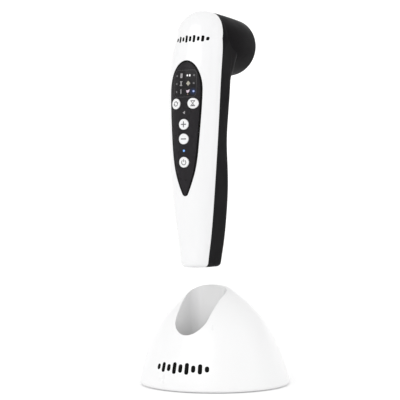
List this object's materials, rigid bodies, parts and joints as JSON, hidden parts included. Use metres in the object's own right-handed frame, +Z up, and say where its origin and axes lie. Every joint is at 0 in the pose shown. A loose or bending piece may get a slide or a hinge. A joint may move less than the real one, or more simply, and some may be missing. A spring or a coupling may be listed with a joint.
{
  "type": "ultrasound therapy device",
  "caption": "Cordless ultrasound therapy handset with a round treatment head, tear-drop button panel and a dome charging dock with a pocket for its lower end.",
  "frame": {"origin": "on the table, under the centre of the dock's round foot", "axes": "+Z up along the object's height, -Y to the front, where the control panel faces, +X across it"},
  "size_m": [0.121, 0.1212, 0.2984],
  "materials": {
    "white_gloss_shell": "glossy moulded ABS",
    "black_soft_shell": "satin black moulded plastic",
    "graphite_panel": "dark graphite hard-coat panel",
    "trim_black": "piano black rim",
    "window": "smoked clear lens",
    "button_white": "satin white caps",
    "clear_plastic": "clear light pipe",
    "diffuser_white": "milky diffuser",
    "circuit_board": "green solder mask",
    "component_black": "moulded component bodies",
    "battery_sleeve": "shrink sleeve",
    "tray_plastic": "grey ABS",
    "copper": "enamelled copper winding",
    "head_metal": "finely turned aluminium",
    "steel": "zinc plated steel",
    "gold_contact": "gold plated contacts",
    "rubber_black": "moulded rubber",
    "ceramic": "piezo ceramic, silvered",
    "dock_white": "glossy moulded ABS",
    "base_grey": "grey ABS base"
  },
  "bodies": {
    "dock": {"dock_shell": "dock_white", "pocket_pad": "rubber_black", "charge_studs": "gold_contact", "contact_block": "component_black", "dock_base": "base_grey", "base_screws": "steel", "rubber_feet": "rubber_black", "ballast_plate": "steel", "dock_board": "circuit_board", "power_inlet": "steel"},
    "handset": {"front_shell": "white_gloss_shell", "rear_shell": "black_soft_shell", "fascia_trim": "trim_black", "control_fascia": "graphite_panel", "indicator_window": "window", "status_light_pipe": "clear_plastic", "light_guide": "diffuser_white", "main_board": "circuit_board", "tact_switches": "component_black", "indicator_leds": "diffuser_white", "buzzer": "component_black", "battery": "battery_sleeve", "battery_tray": "tray_plastic", "driver_board": "circuit_board", "matching_coil": "copper", "treatment_head": "head_metal", "head_gasket": "rubber_black", "head_retainer": "steel", "piezo_disc": "ceramic", "transducer_leads": "rubber_black", "case_screws": "steel", "screw_plugs": "rubber_black", "charge_pads": "gold_contact"},
    "mode_button": {"mode_button": "button_white"},
    "timer_button": {"timer_button": "button_white"},
    "plus_button": {"plus_button": "button_white"},
    "minus_button": {"minus_button": "button_white"},
    "power_button": {"power_button": "button_white"}
  },
  "joints": [
    {"name": "handset_lift", "type": "slide", "parent": "dock", "child": "handset", "axis": [0, 0.0872, 0.9962], "range_m": [-0.0569, 0.04]},
    {"name": "mode_press", "type": "slide", "parent": "handset", "child": "mode_button", "axis": [0, 1, 0], "range_m": [0, 0.0005], "stiffness_N_per_m": 2500},
    {"name": "timer_press", "type": "slide", "parent": "handset", "child": "timer_button", "axis": [0, 1, 0], "range_m": [0, 0.0005], "stiffness_N_per_m": 2500},
    {"name": "plus_press", "type": "slide", "parent": "handset", "child": "plus_button", "axis": [0, 1, 0], "range_m": [0, 0.0005], "stiffness_N_per_m": 2500},
    {"name": "minus_press", "type": "slide", "parent": "handset", "child": "minus_button", "axis": [0, 1, 0], "range_m": [0, 0.0005], "stiffness_N_per_m": 2500},
    {"name": "power_press", "type": "slide", "parent": "handset", "child": "power_button", "axis": [0, 1, 0], "range_m": [0, 0.0005], "stiffness_N_per_m": 2500}
  ]
}
